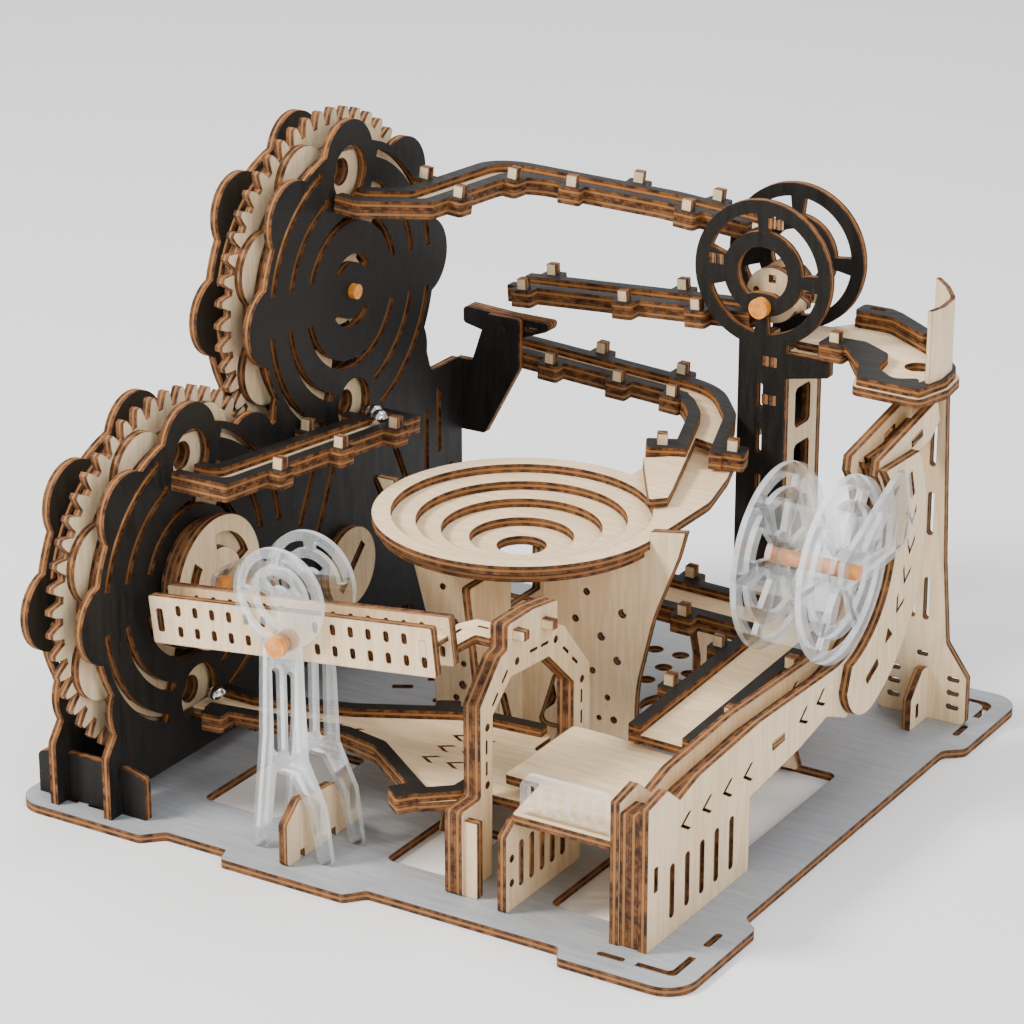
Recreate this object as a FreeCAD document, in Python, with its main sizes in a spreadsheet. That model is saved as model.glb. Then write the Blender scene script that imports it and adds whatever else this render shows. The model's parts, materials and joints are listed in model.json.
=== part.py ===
"""Plywood marble-run puzzle: a base board, a two-wheel ball lift, tracks, a tower, a slide,
a stepped funnel, a seesaw and the balls, each sheet piece as its own body.

Layout numbers are millimetres from the front right corner of the board: x to the right along
the front edge (so x is negative on the board), y to the back, z up from the underside.
ORIGIN moves them so that the part's own origin is the middle of the board's underside.
"""
import math
import os

import FreeCAD
import Part
import Sketcher

Vector = FreeCAD.Vector
Rotation = FreeCAD.Rotation
Placement = FreeCAD.Placement

ORIGIN = Vector(125.0, -120.0, 0.0)

SIZES = [
    ("ply", 3.0, "plywood sheet"),
    ("double_ply", 6.0, "two sheets glued"),
    ("clear_sheet", 2.0, "clear acrylic sheet"),
    ("board_left", -246.0, "left edge of the board"),
    ("board_right", -4.0, "right edge of the board"),
    ("board_front", 1.5, "front edge of the board"),
    ("board_back", 238.5, "back edge of the board"),
    ("board_corner", 10.0, "board corner radius"),
    ("board_step", 6.0, "depth of the recesses along the board edges"),
    ("gear_teeth", 50, "teeth on each lift gear"),
    ("gear_pitch", 57.3, "pitch radius of the lift gears"),
    ("gear_backlash", 0.3, "play between meshing teeth"),
    ("lift_disc", 50.0, "round part of the lift plates"),
    ("lift_lobe", 13.5, "radius of the lobes round the lift plates"),
    ("lobe_ring", 44.5, "circle the lobe centres lie on"),
    ("pocket_ring", 40.0, "circle the ball pockets lie on"),
    ("pocket_hole", 4.6, "ball pocket radius"),
    ("port_hole", 9.5, "entry and exit hole radius"),
    ("axle_size", 2.5, "axle radius"),
    ("axle_play", 0.05, "radial clearance of a running axle"),
    ("track_half", 8.0, "half width of a track"),
    ("lane_half", 3.8, "half width of the lane"),
    ("lug_size", 8.0, "width of a track lug"),
    ("lug_reach", 5.0, "how far a lug stands out"),
    ("peg_size", 3.4, "square peg through the lugs"),
    ("peg_height", 9.5, "length of a peg"),
    ("ball_size", 3.0, "ball radius"),
    ("funnel_rim", 47.6, "outer radius of the funnel"),
    ("funnel_top", 88.0, "top face of the funnel"),
    ("slide_gap", 6.6, "gap between the slide rails"),
    ("paddle_wheel", 30.0, "radius of the clear wheels"),
    ("seesaw_tilt", 6.6, "seesaw slope at rest in degrees"),
    ("seesaw_height", 15.5, "height of the seesaw sides"),
    ("seesaw_lane", 6.8, "gap between the seesaw sides"),
]

LOWER_WHEEL = (52.8, 69.0)
UPPER_WHEEL = (143.6, 139.0)
MESH_ANGLE = math.degrees(math.atan2(UPPER_WHEEL[1] - LOWER_WHEEL[1],
                                     UPPER_WHEEL[0] - LOWER_WHEEL[0]))
PADDLE_AXIS = (134.0, 83.0)
FUNNEL = (-126.0, 114.5)
TOWER_RING = (-91.5, 146.5)
TOWER_AXIS = (-91.3, 135.4)
SEESAW_AXIS = (-150.3, 72.6)
FLIPPER_AXIS = (-193.0, 109.0)

os.makedirs("parts", exist_ok=True)
doc = FreeCAD.newDocument("marble_run")
sheet = doc.addObject("Spreadsheet::Sheet", "sizes")
for row, (alias, value, note) in enumerate(SIZES, start=1):
    sheet.set("A%d" % row, note)
    sheet.set("B%d" % row, str(value))
    sheet.setAlias("B%d" % row, alias)
doc.recompute()
S = {alias: float(sheet.get(alias)) for alias, _, _ in SIZES}
nodes = []


# ---- placements -------------------------------------------------------------------------
def flat_at(z, x=0.0, y=0.0):
    """Sheet lying flat with its underside at z."""
    return Placement(ORIGIN + Vector(x, y, z), Rotation())


def side_at(x):
    """Upright sheet facing right: its outline is given in (y, z)."""
    return Placement(ORIGIN + Vector(x, 0, 0), Rotation(Vector(1, 1, 1), 120))


def face_at(y):
    """Upright sheet facing the front: outline in (x, z), y is its back face."""
    return Placement(ORIGIN + Vector(0, y, 0), Rotation(Vector(1, 0, 0), 90))


def sloped_at(x, y, z, rise_x, rise_y):
    """Sheet leaning gently; outline measured from the point (x, y, z) on its underside."""
    lean = Rotation(Vector(0, 0, 1), Vector(-rise_x, -rise_y, 1))
    return Placement(ORIGIN + Vector(x, y, z), lean)


def raised(placement, height):
    """The same placement moved along its own normal."""
    return placement.multiply(Placement(Vector(0, 0, height), Rotation()))


# ---- outlines ---------------------------------------------------------------------------
def vec(point):
    return Vector(point[0], point[1], 0)


def polar(centre, radius, degrees):
    angle = math.radians(degrees)
    return (centre[0] + radius * math.cos(angle), centre[1] + radius * math.sin(angle))


def circle(centre, radius, alias=None):
    edge = [Part.Circle(vec(centre), Vector(0, 0, 1), radius)]
    return (edge, alias) if alias else edge


def chain(start, *steps):
    """Closed outline: a step is a point, or (middle, end) for an arc."""
    edges, here = [], start
    for step in steps:
        if isinstance(step[0], tuple):
            edges.append(Part.Arc(vec(here), vec(step[0]), vec(step[1])))
            here = step[1]
        else:
            edges.append(Part.LineSegment(vec(here), vec(step)))
            here = step
    if (vec(here) - vec(start)).Length > 1e-6:
        edges.append(Part.LineSegment(vec(here), vec(start)))
    return edges


def rounded(points, radius=0.0):
    """Closed polygon with rounded corners; a third number gives a corner its own radius."""
    count, corners = len(points), []
    for i, point in enumerate(points):
        size = point[2] if len(point) > 2 else radius
        corner = vec(point)
        to_last = vec(points[i - 1]) - corner
        to_next = vec(points[(i + 1) % count]) - corner
        room = 0.49 * min(to_last.Length, to_next.Length)
        to_last.normalize()
        to_next.normalize()
        half = to_last.getAngle(to_next) / 2
        if size < 0.05 or half > math.radians(88):
            corners.append((corner, None, corner))
            continue
        reach = min(size / math.tan(half), room)
        size = reach * math.tan(half)
        inward = (to_last + to_next).normalize()
        middle = corner + inward * (size / math.sin(half) - size)
        corners.append((corner + to_last * reach, middle, corner + to_next * reach))
    edges = []
    for i, (start, middle, end) in enumerate(corners):
        if middle is not None:
            edges.append(Part.Arc(start, middle, end))
        following = corners[(i + 1) % count][0]
        if (following - end).Length > 1e-5:
            edges.append(Part.LineSegment(end, following))
    return edges


def box(x0, y0, x1, y1, radius=0.0):
    return rounded([(x0, y0), (x1, y0), (x1, y1), (x0, y1)], radius)


def turned_box(centre, length, width, degrees, radius=0.0):
    """Rectangle centred on a point and turned."""
    corners = []
    for u, v in ((-1, -1), (1, -1), (1, 1), (-1, 1)):
        along = polar(centre, u * length / 2, degrees)
        corners.append(polar(along, v * width / 2, degrees + 90))
    return rounded(corners, radius)


def arc_slot(centre, inner, outer, first, last):
    """Curved slot between two radii and two angles."""
    middle = (first + last) / 2
    return chain(polar(centre, outer, first),
                 (polar(centre, outer, middle), polar(centre, outer, last)),
                 polar(centre, inner, last),
                 (polar(centre, inner, middle), polar(centre, inner, first)),
                 polar(centre, outer, first))


def offset_path(path, distance, radius):
    """Path moved sideways to its left; a third number gives a corner its own radius."""
    result = []
    for i, point in enumerate(path):
        here = vec(point)
        into = (here - vec(path[i - 1])).normalize() if i else None
        out = (vec(path[i + 1]) - here).normalize() if i < len(path) - 1 else None
        into, out = into or out, out or into
        left_in, left_out = Vector(-into.y, into.x, 0), Vector(-out.y, out.x, 0)
        mitre = (left_in + left_out).normalize()
        moved = here + mitre * (distance / mitre.dot(left_in))
        turn = into.x * out.y - into.y * out.x
        size = point[2] if len(point) > 2 else radius
        bend = 0.0 if abs(turn) < 1e-6 else size - math.copysign(distance, turn)
        result.append((moved.x, moved.y, max(bend, 0.0)))
    return result


def strip(path, low, high, radius=0.0):
    """Band following a path between two sideways offsets."""
    return rounded(offset_path(path, low, radius) + offset_path(path, high, radius)[::-1])


def lobed(centre, disc, lobe, ring, count=8, phase=0.0):
    """Round plate with round lobes standing out of its rim."""
    cosine = (ring ** 2 + disc ** 2 - lobe ** 2) / (2 * ring * disc)
    half = math.degrees(math.acos(cosine))
    step, steps = 360.0 / count, []
    start = polar(centre, disc, phase - half)
    for i in range(count):
        angle = phase + i * step
        steps.append((polar(centre, ring + lobe, angle), polar(centre, disc, angle + half)))
        steps.append((polar(centre, disc, angle + step / 2),
                      polar(centre, disc, angle + step - half)))
    steps[-1] = (steps[-1][0], start)
    return chain(start, *steps)


def gear(centre, phase):
    """Involute gear outline; a tooth is centred on the phase angle."""
    teeth, pitch = int(S["gear_teeth"]), S["gear_pitch"]
    module, pressure = 2 * pitch / teeth, math.radians(20)
    base, tip, root = pitch * math.cos(pressure), pitch + module, pitch - 1.25 * module
    involute = math.tan(pressure) - pressure
    half_tooth = math.pi / (2 * teeth) - S["gear_backlash"] / (4 * pitch)

    def flank(radius):
        angle = math.acos(min(1.0, base / radius))
        return math.degrees(half_tooth + involute - (math.tan(angle) - angle))

    low, middle, step = flank(root), flank(pitch), 360.0 / teeth
    start, steps = polar(centre, root, phase - low), []
    for i in range(teeth):
        angle = phase + i * step
        top = flank(tip)
        steps.append((polar(centre, pitch, angle - middle), polar(centre, tip, angle - top)))
        steps.append((polar(centre, tip, angle), polar(centre, tip, angle + top)))
        steps.append((polar(centre, pitch, angle + middle), polar(centre, root, angle + low)))
        steps.append((polar(centre, root, angle + step / 2),
                      polar(centre, root, angle + step - low)))
    steps[-1] = (steps[-1][0], start)
    return chain(start, *steps)


def chevron(point, size, degrees, weight=1.1):
    """Arrow-head slot pointing along an angle."""
    tip = polar(point, size / 2, degrees)
    left = polar(polar(point, -size / 2, degrees), size / 1.6, degrees + 90)
    right = polar(polar(point, -size / 2, degrees), size / 1.6, degrees - 90)
    back = polar(tip, -weight * 1.6, degrees)
    left_in = polar(left, -weight * 1.6, degrees)
    right_in = polar(right, -weight * 1.6, degrees)
    return rounded([tip, left, left_in, back, right_in, right])


# ---- bodies -----------------------------------------------------------------------------
def origin_plane(body, role="XY_Plane"):
    return next(item for item in body.Origin.OriginFeatures if item.Role == role)


def draw(body, name, outlines):
    """Sketch on the body's own base plane; a circle may carry a driving size."""
    sketch = body.newObject("Sketcher::SketchObject", name)
    sketch.AttachmentSupport = [(origin_plane(body), "")]
    sketch.MapMode = "FlatFace"
    for outline in outlines:
        alias = None
        if isinstance(outline, tuple):
            outline, alias = outline
        first = sketch.GeometryCount
        sketch.addGeometry(outline, False)
        if alias:
            at = sketch.addConstraint(Sketcher.Constraint("Radius", first, S[alias]))
            sketch.setExpression("Constraints[%d]" % at, "sizes." + alias)
    return sketch


def sheet_body(label, outline, holes=(), at=None, depth="ply", more=()):
    """One cut piece: a pad from its outline, extra pads that join it, and one through cut."""
    body = doc.addObject("PartDesign::Body", label)
    body.Label = label
    body.AllowCompound = True
    for number, pieces in enumerate([[outline]] + [[item] for item in more]):
        pad = body.newObject("PartDesign::Pad", "pad_%s_%d" % (label, number))
        pad.Profile = draw(body, "outline_%s_%d" % (label, number), pieces)
        pad.setExpression("Length", "sizes." + depth)
        body.Tip = pad
    doc.recompute()
    if holes:
        before = body.Shape.Volume
        cut = body.newObject("PartDesign::Pocket", "cut_" + label)
        cut.Profile = draw(body, "holes_" + label, holes)
        cut.Type = "ThroughAll"
        cut.Reversed = True
        body.Tip = cut
        doc.recompute()
        if not body.Shape.Volume < before - 0.1:
            raise RuntimeError("the cut in %s removed nothing" % label)
    body.Placement = at or Placement()
    nodes.append(body)
    return body


def group(label, shapes):
    """Several identical small pieces kept as one node."""
    members = []
    for number, (kind, sizes, placement) in enumerate(shapes):
        piece = doc.addObject("Part::" + kind, "%s_%d" % (label, number))
        for name, value in sizes.items():
            if isinstance(value, str):
                piece.setExpression(name, value)
            else:
                setattr(piece, name, value)
        piece.Placement = placement
        members.append(piece)
    if len(members) == 1:
        members[0].Label = label
        nodes.append(members[0])
        return members[0]
    whole = doc.addObject("Part::Compound", label)
    whole.Links = members
    whole.Label = label
    nodes.append(whole)
    return whole


def merge(label, *members):
    """Pieces glued or fitted as one unit, kept as one node of separate solids."""
    whole = doc.addObject("Part::Compound", label)
    whole.Links = list(members)
    whole.Label = label
    for member in members:
        nodes.remove(member)
    nodes.append(whole)
    return whole


def axle(label, start, length, along, radius="sizes.axle_size", caps=()):
    """Round axle from a point along x or y, with wider caps where given."""
    spin = Rotation(Vector(0, 1, 0), 90) if along == "x" else Rotation(Vector(1, 0, 0), -90)
    base = ORIGIN + Vector(*start)
    rod = doc.addObject("Part::Cylinder", label + "_rod")
    rod.setExpression("Radius", radius)
    rod.Height = length
    rod.Placement = Placement(base, spin)
    pieces = [rod]
    for number, (offset, size, height) in enumerate(caps):
        cap = doc.addObject("Part::Cylinder", "%s_cap_%d" % (label, number))
        cap.Radius, cap.Height = size, height
        cap.Placement = Placement(base, spin).multiply(
            Placement(Vector(0, 0, offset), Rotation()))
        pieces.append(cap)
    if len(pieces) == 1:
        rod.Label = label
        nodes.append(rod)
        return rod
    whole = doc.addObject("Part::MultiFuse", label)
    whole.Shapes = pieces
    whole.Label = label
    nodes.append(whole)
    return whole


# ---- tracks -----------------------------------------------------------------------------
all_pegs = []
side_pieces = []
face_pieces = []


def track(name, path, at, radius, lugs, half=None, lane=None, mouth=(), guide=()):
    """Floor, two borders and pegs.

    A lug is (x, y, outward angle) on the border, with any extra reach as a fourth number.
    The mouth is cut out of the floor only, and the guide is joined to it.
    """
    half, lane = half or S["track_half"], lane or S["lane_half"]
    size, reach, peg = S["lug_size"], S["lug_reach"], S["peg_size"]
    pads, pegs = [], []
    for x, y, degrees, *extra in lugs:
        far = reach + sum(extra)
        centre = polar((x, y), (far - 3.0) / 2, degrees)
        pads.append(turned_box(centre, far + 3.0, size, degrees, 1.2))
        pegs.append((polar((x, y), far / 2 - 0.6, degrees), degrees))
    cuts = [turned_box(spot, peg, peg, degrees) for spot, degrees in pegs]
    sheet_body(name + "_floor", strip(path, -half, half, radius), cuts + list(mouth), at,
               more=pads + list(guide))
    sheet_body(name + "_borders", strip(path, lane, half, radius), cuts,
               raised(at, S["ply"]), more=[strip(path, -half, -lane, radius)] + pads)
    for spot, degrees in pegs:
        corner = Placement(Vector(spot[0], spot[1], 0), Rotation(Vector(0, 0, 1), degrees))
        shift = Placement(Vector(-peg / 2, -peg / 2, 0.2), Rotation())
        all_pegs.append(("Box", {"Length": "sizes.peg_size", "Width": "sizes.peg_size",
                                 "Height": "sizes.peg_height"},
                         at.multiply(corner).multiply(shift)))


# ---- base board -------------------------------------------------------------------------
def build_board():
    left, right = S["board_left"], S["board_right"]
    front, back = S["board_front"], S["board_back"]
    corner, step = S["board_corner"], S["board_step"]
    edge = [(left, corner), (-196, 2), (-190, 2), (-167, 1), (-165, 2), (-120, 2), (-115, 2),
            (-48, 2), (-45, 2), (right, corner)]
    level = [0, 0, 1, 1, 0, 0, 1, 1, 0, 0]
    low = [(x, front + step * down, r) for (x, r), down in zip(edge, level)]
    high = [(x, back - step * down, r) for (x, r), down in zip(edge, level)][::-1]
    side = [(0, 47), (1, 52), (1, 188), (0, 193)]
    right_side = [(right - step * dip, y, 4) for dip, y in side]
    left_side = [(left + step * dip, y, 4) for dip, y in side][::-1]
    windows = [box(-194.5, 33, -166, 84, 3), box(-122, 28, -99, 62, 3),
               box(-64, 29, -40, 70, 3), box(-72, 88, -31, 154, 3), circle((-103.5, 172), 9.6),
               box(-225, 18, -220, 40, 1)]
    for column in range(4):
        for row in range(3):
            windows.append(circle((-140.7 + 10.2 * column, 187 + 12 * row), 3.0))
    for x, y in ((-32, 10.5), (-32, 229.5), (-218, 10.5), (-218, 229.5)):
        windows.append(box(x - 4.5, y - 1.1, x + 4.5, y + 1.1, 1.0))
    for x, y in ((-11.5, 34.7), (-11.5, 205.3), (-238.5, 34.7), (-238.5, 205.3)):
        windows.append(box(x - 1.1, y - 4.5, x + 1.1, y + 4.5, 1.0))
    for x, y in ((-188, 138.5), (-176.5, 124), (-181, 150), (-170, 136)):
        windows.append(turned_box((x, y), 7, 3, 30, 0.6))
    for x, y, u, v in ((-11.5, 10.5, -1, 1), (-11.5, 229.5, -1, -1),
                       (-238.5, 10.5, 1, 1), (-238.5, 229.5, 1, -1)):
        windows.append(strip([(x + u * 12, y), (x, y), (x, y + v * 12)], -1.1, 1.1, 3.0))
    outline = rounded(low + right_side + high + left_side)
    sheet_body("base_board", outline, windows, flat_at(0))


# ---- ball lift --------------------------------------------------------------------------
def lift_slots(centre):
    """Curved slots of a lift plate, kept clear of its bar and of the two ball ports."""
    slots, bar = [], -4.0
    for radius in (11.0, 25.0):
        gap = math.degrees(math.asin(7.0 / radius))
        for start in (bar, bar + 180):
            slots.append(arc_slot(centre, radius - 1.5, radius + 1.5,
                                  start + gap, start + 180 - gap))
    for radius in (36.0, 46.2):
        gap = math.degrees(math.asin(7.0 / radius))
        for start, port in ((bar, 90), (bar + 180, 270)):
            slots.append(arc_slot(centre, radius - 1.4, radius + 1.4, start + gap, port - 20))
            slots.append(arc_slot(centre, radius - 1.4, radius + 1.4,
                                  port + 20, start + 180 - gap))
    return slots


def build_lift():
    disc, lobe, ring = S["lift_disc"], S["lift_lobe"], S["lobe_ring"]
    bore = S["axle_size"] + S["axle_play"]
    wheels = [lobed(LOWER_WHEEL, disc, lobe, ring), lobed(UPPER_WHEEL, disc, lobe, ring)]
    web = rounded([(5, 3), (210.5, 3), (210.5, 97, 2), (191, 97, 3), (186, 112), (150, 120),
                   (95, 106), (60, 60), (20, 44), (5, 24, 4)])
    slots = [box(186, 60, 189, 84, 1.4), box(194, 66, 197, 90, 1.4), box(202, 30, 204, 60, 0.9),
             turned_box((116, 78), 26, 3, 64, 1.4), turned_box((126, 72), 26, 3, 64, 1.4),
             turned_box((170, 72), 22, 3, 116, 1.4), turned_box((160, 60), 22, 3, 116, 1.4),
             box(24, 2.9, 84, 9, 2), box(110, 2.9, 178, 16, 4), box(10.5, 2.9, 13.5, 11)]
    ports = [circle((LOWER_WHEEL[0], LOWER_WHEEL[1] + turn * S["pocket_ring"]), S["port_hole"],
                    "port_hole") for turn in (-1, 1)]
    ports += [circle((UPPER_WHEEL[0], UPPER_WHEEL[1] + turn * S["pocket_ring"]),
                     S["port_hole"], "port_hole") for turn in (-1, 1)]
    bores = [circle(LOWER_WHEEL, bore), circle(UPPER_WHEEL, bore)]
    cuts = lift_slots(LOWER_WHEEL) + lift_slots(UPPER_WHEEL) + slots
    sheet_body("lift_front_plate", wheels[0], cuts + ports + bores, side_at(-212.3),
               more=[wheels[1], web])
    back_web = rounded([(5, 3), (206, 3), (206, 80, 2), (186, 100), (150, 120),
                        (95, 106), (60, 60), (20, 44), (5, 24, 4)])
    sheet_body("lift_back_plate", wheels[0], cuts[:-2] + bores + [cuts[-1]],
               side_at(-233.3), more=[wheels[1], back_web])
    front = sheet_body("brace_front", rounded([(-242, 3), (-200, 3), (-200, 17, 2), (-208, 19, 2),
                                            (-234, 19, 2), (-242, 17, 2)]),
               [box(-233.3, 11, -230.3, 19.2), box(-212.3, 11, -209.3, 19.2)], face_at(13.5))
    rear = sheet_body("brace_rear", rounded([(-230.3, 3), (-212.3, 3), (-212.3, 52), (-230.3, 52)]),
               [box(-224, 14, -219, 42, 2)], face_at(202))
    merge("lift_braces", front, rear)
    side_pieces.append(sheet_body("cross_cap", circle((136.3, 43.7), 14.0),
                                  [turned_box((136.3, 43.7), 19, 3.2, 45)], side_at(-209.3)))
    for name, centre, phase in (("lower", LOWER_WHEEL, MESH_ANGLE),
                                ("upper", UPPER_WHEEL,
                                 MESH_ANGLE + 180 + 180.0 / S["gear_teeth"])):
        shaft = circle(centre, S["axle_size"], "axle_size")
        spokes = [arc_slot(centre, 12, 29, angle + 14, angle + 46)
                  for angle in range(0, 360, 60)]
        pockets = [circle(polar(centre, S["pocket_ring"], 45 * i), S["pocket_hole"],
                          "pocket_hole") for i in range(8)]
        sheet_body(name + "_gear", gear(centre, phase), [shaft] + spokes, side_at(-222.3))
        pocket = sheet_body(name + "_pockets", lobed(centre, 48.0, 13.0, 42.0, phase=22.5),
                            [shaft] + spokes + pockets, side_at(-219.3))
        spacer = sheet_body(name + "_spacer", circle(centre, 46.5), [shaft] + spokes + pockets,
                            side_at(-219.3 + S["ply"]))
        backing = sheet_body(name + "_backing", lobed(centre, 46.0, 12.0, 40.0, phase=22.5),
                             [shaft] + spokes, side_at(-225.3))
        merge(name + "_pocket_wheel", pocket, spacer, backing)
    axle("lower_axle", (-235.5,) + LOWER_WHEEL, 38.5, "x")
    axle("upper_axle", (-235.5,) + UPPER_WHEEL, 28.5, "x")


def build_crank():
    shaft = circle(LOWER_WHEEL, S["axle_size"], "axle_size")
    arcs = [arc_slot(LOWER_WHEEL, 11.5, 16.5, angle, angle + 75) for angle in (20, 140, 260)]
    inner = sheet_body("drum_inner", circle(LOWER_WHEEL, 19.0), [shaft], side_at(-208.8))
    middle = sheet_body("drum_middle", circle(LOWER_WHEEL, 20.5), [shaft], side_at(-205.8))
    outer = sheet_body("drum_outer", circle(LOWER_WHEEL, 22.0), [shaft] + arcs,
                       side_at(-202.8))
    merge("crank_drum", inner, middle, outer)
    y, z = LOWER_WHEEL
    arm = sheet_body("crank_bar", rounded([(y - 5, z - 5), (y + 14, z - 4), (y + 20, z - 4),
                                           (y + 20, z + 4), (y + 14, z + 4), (y - 5, z + 5)],
                                          3.0), [shaft], side_at(-199.8), "clear_sheet")
    knob = axle("crank_knob", (-197.8, y + 16, z), 9.0, "x", "2.8")
    merge("crank_handle", arm, knob)


# ---- tracks -----------------------------------------------------------------------------
def build_tracks():
    left_path = [(0, 0), (13, 0), (13, 94.0, 4.5), (0, 94.0)]
    track("link_track", left_path, sloped_at(-209.2, 49.5, 101.0, 0, -0.1), 9.0,
          [(21, 18, 0), (21, 52, 0), (21, 84, 0), (5, 62, 180)])
    top_path = [(0, 0), (5, 0), (18, 14), (18, 70), (75, 82), (108, 82.5)]
    track("top_track", top_path, sloped_at(-209.0, 141.0, 168.0, -0.08, -0.06), 8.0,
          [(26, 24, 0), (26, 58, 0), (45.4, 68, 283), (87, 74.4, 270), (59, 87.6, 103),
           (88, 90.4, 90), (10, 34, 180)])
    middle_path = [(0, 0), (94.5, 0)]
    track("middle_track", middle_path, sloped_at(-193.6, 224.0, 118.0, 0.064, 0), 6.0,
          [(8, -8, 270), (48, -8, 270), (76, -8, 270), (8, 8, 90), (60, 8, 90)])
    long_path = [(0, 0), (84.5, 0), (98.4, -17), (109.6, -48)]
    mouth = rounded([(100.6, -32.5), (108, -33.5), (113.3, -47), (135, -90), (118, -82)], 0)
    guide = rounded([(97, -38), (102, -51), (95, -58), (104, -72), (113.5, -86.5),
                     (117.6, -81.5), (110, -57), (106, -40)], 0.8)
    track("long_track", long_path, sloped_at(-205.0, 222.0, 96.5, -0.06, 0.012), 16.0,
          [(31, -8, 270), (58, -8, 270), (79, -8, 270), (100.5, -47.5, 212, 4), (40, 8, 90),
           (72, 8, 90), (115.2, -41, 15, 3)], mouth=[mouth], guide=[guide])
    return_path = [(0, 0), (0, 89), (-57, 89)]
    track("return_track", return_path, sloped_at(-54.5, 79.0, 36.0, -0.027, 0.045), 12.0,
          [(11.5, 20, 0), (11.5, 60, 0), (-11.5, 30, 180), (-11.5, 62, 180),
           (-20, 100.5, 90), (-46, 100.5, 90), (-34, 77.5, 270)], half=11.5, lane=7.3)
    near = [(-201, 46), (-152, 52), (-137, 48.5), (-107, 26), (-98.5, 33), (-98, 41)]
    far = [(-206, 61), (-192, 60), (-160, 68), (-128, 83), (-99, 84)]
    floor = rounded([(-209, 47), (-152, 50), (-137, 46), (-107, 23), (-96.5, 31),
                     (-96.5, 39), (-76, 39), (-76, 73), (-96.5, 73), (-96.5, 85),
                     (-128, 85), (-160, 70), (-192, 62), (-209, 62)], 2.0)
    at = sloped_at(0, 0, 27.0, 0.02, 0)
    marks = [chevron((-178 + 8 * i, 57.5), 4, 180) for i in range(4)]
    marks += [chevron((-122 + 9 * i, 52 + 9 * j), 4, 180) for i in range(2) for j in range(3)]
    lugs = [turned_box((-112, 24), 8, 8, -37, 1.2), turned_box((-196, 44), 8, 8, 5, 1.2),
            turned_box((-134, 83), 8, 8, 27, 1.2)]
    sheet_body("collecting_floor", floor, marks, at, more=lugs)
    sheet_body("collecting_borders", strip(near, -2.1, 2.1, 3.0), (), raised(at, S["ply"]),
               more=[strip(far, -2.1, 2.1, 3.0)] + lugs)


# ---- tower and turn-round ---------------------------------------------------------------
def tower_holes():
    """Bore, four outer windows and the round window above the axle."""
    ring, (x, z) = TOWER_RING, TOWER_AXIS
    holes = [circle(TOWER_AXIS, S["axle_size"], "axle_size")]
    for first, last in ((6, 83), (97, 161), (199, 263), (277, 350)):
        holes.append(arc_slot(ring, 14.4, 20.6, first, last))
    holes.append(chain(polar(ring, 9.3, 305), (polar(ring, 9.3, 90), polar(ring, 9.3, 235)),
                       (x - 3.2, z + 4.4), (x + 3.2, z + 4.4)))
    return holes


def build_tower():
    post = rounded([(-99.5, 3), (-82, 3), (-82, 112), (-66, 115), (-66, 120.9),
                    (-81.9, 120.9, 0), (-81.9, 124), (-99.5, 124)], 1.0)
    slots = [box(-92.4, z, -90.2, z + 9, 1.0) for z in (20, 36, 52, 68, 84, 100)]
    ring = circle(TOWER_RING, 25.0)
    front, back = [sheet_body(name, ring, tower_holes() + slots, face_at(y), more=[post])
                   for name, y in (("tower_front", 212), ("tower_back", 236))]
    merge("tower_plates", front, back)
    windows = [box(217, z, 228, z + 14, 2) for z in (12, 32, 52, 72, 92)]
    upright = box(212, 3, 233, 121)
    right = sheet_body("tower_right", upright, windows, side_at(-85))
    left = sheet_body("tower_left", box(212, 3, 233, 120.5), windows, side_at(-99.5))
    merge("tower_side_plates", left, right)
    axle("tower_axle", (TOWER_AXIS[0], 206.0, TOWER_AXIS[1]), 33.0, "y",
         caps=[(0, 3.4, 3.0), (30, 3.4, 3.0)])
    bore = circle(TOWER_AXIS, S["axle_size"] + S["axle_play"])
    x, z = TOWER_AXIS
    arms = rounded([(x - 13, z - 1), (x, z - 4.5), (x + 13, z - 1), (x + 13, z + 1.5),
                    (x + 5, z + 6), (x - 5, z + 6), (x - 13, z + 1.5)], 0.8)
    dome = [circle(polar((x, z + 2), 6.0, angle), 1.0) for angle in (12, 168)]
    dome.append(box(x - 1.3, z + 6.4, x + 1.3, z + 9.0, 0.2))
    plates = [sheet_body(name, circle((x, z + 2), 9.5), [bore] + dome, face_at(y), more=[arms])
              for name, y in (("diverter_front", 219.0), ("diverter_back", 229.0))]
    spacers = group("diverter_spacers", [("Box", {"Length": 3.0, "Width": 7.0, "Height": 2.4},
                                Placement(ORIGIN + Vector(x + u, 219.0, z - 0.6), Rotation()))
                               for u in (-10.5, 7.5)])
    merge("diverter", *plates, spacers)


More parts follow.
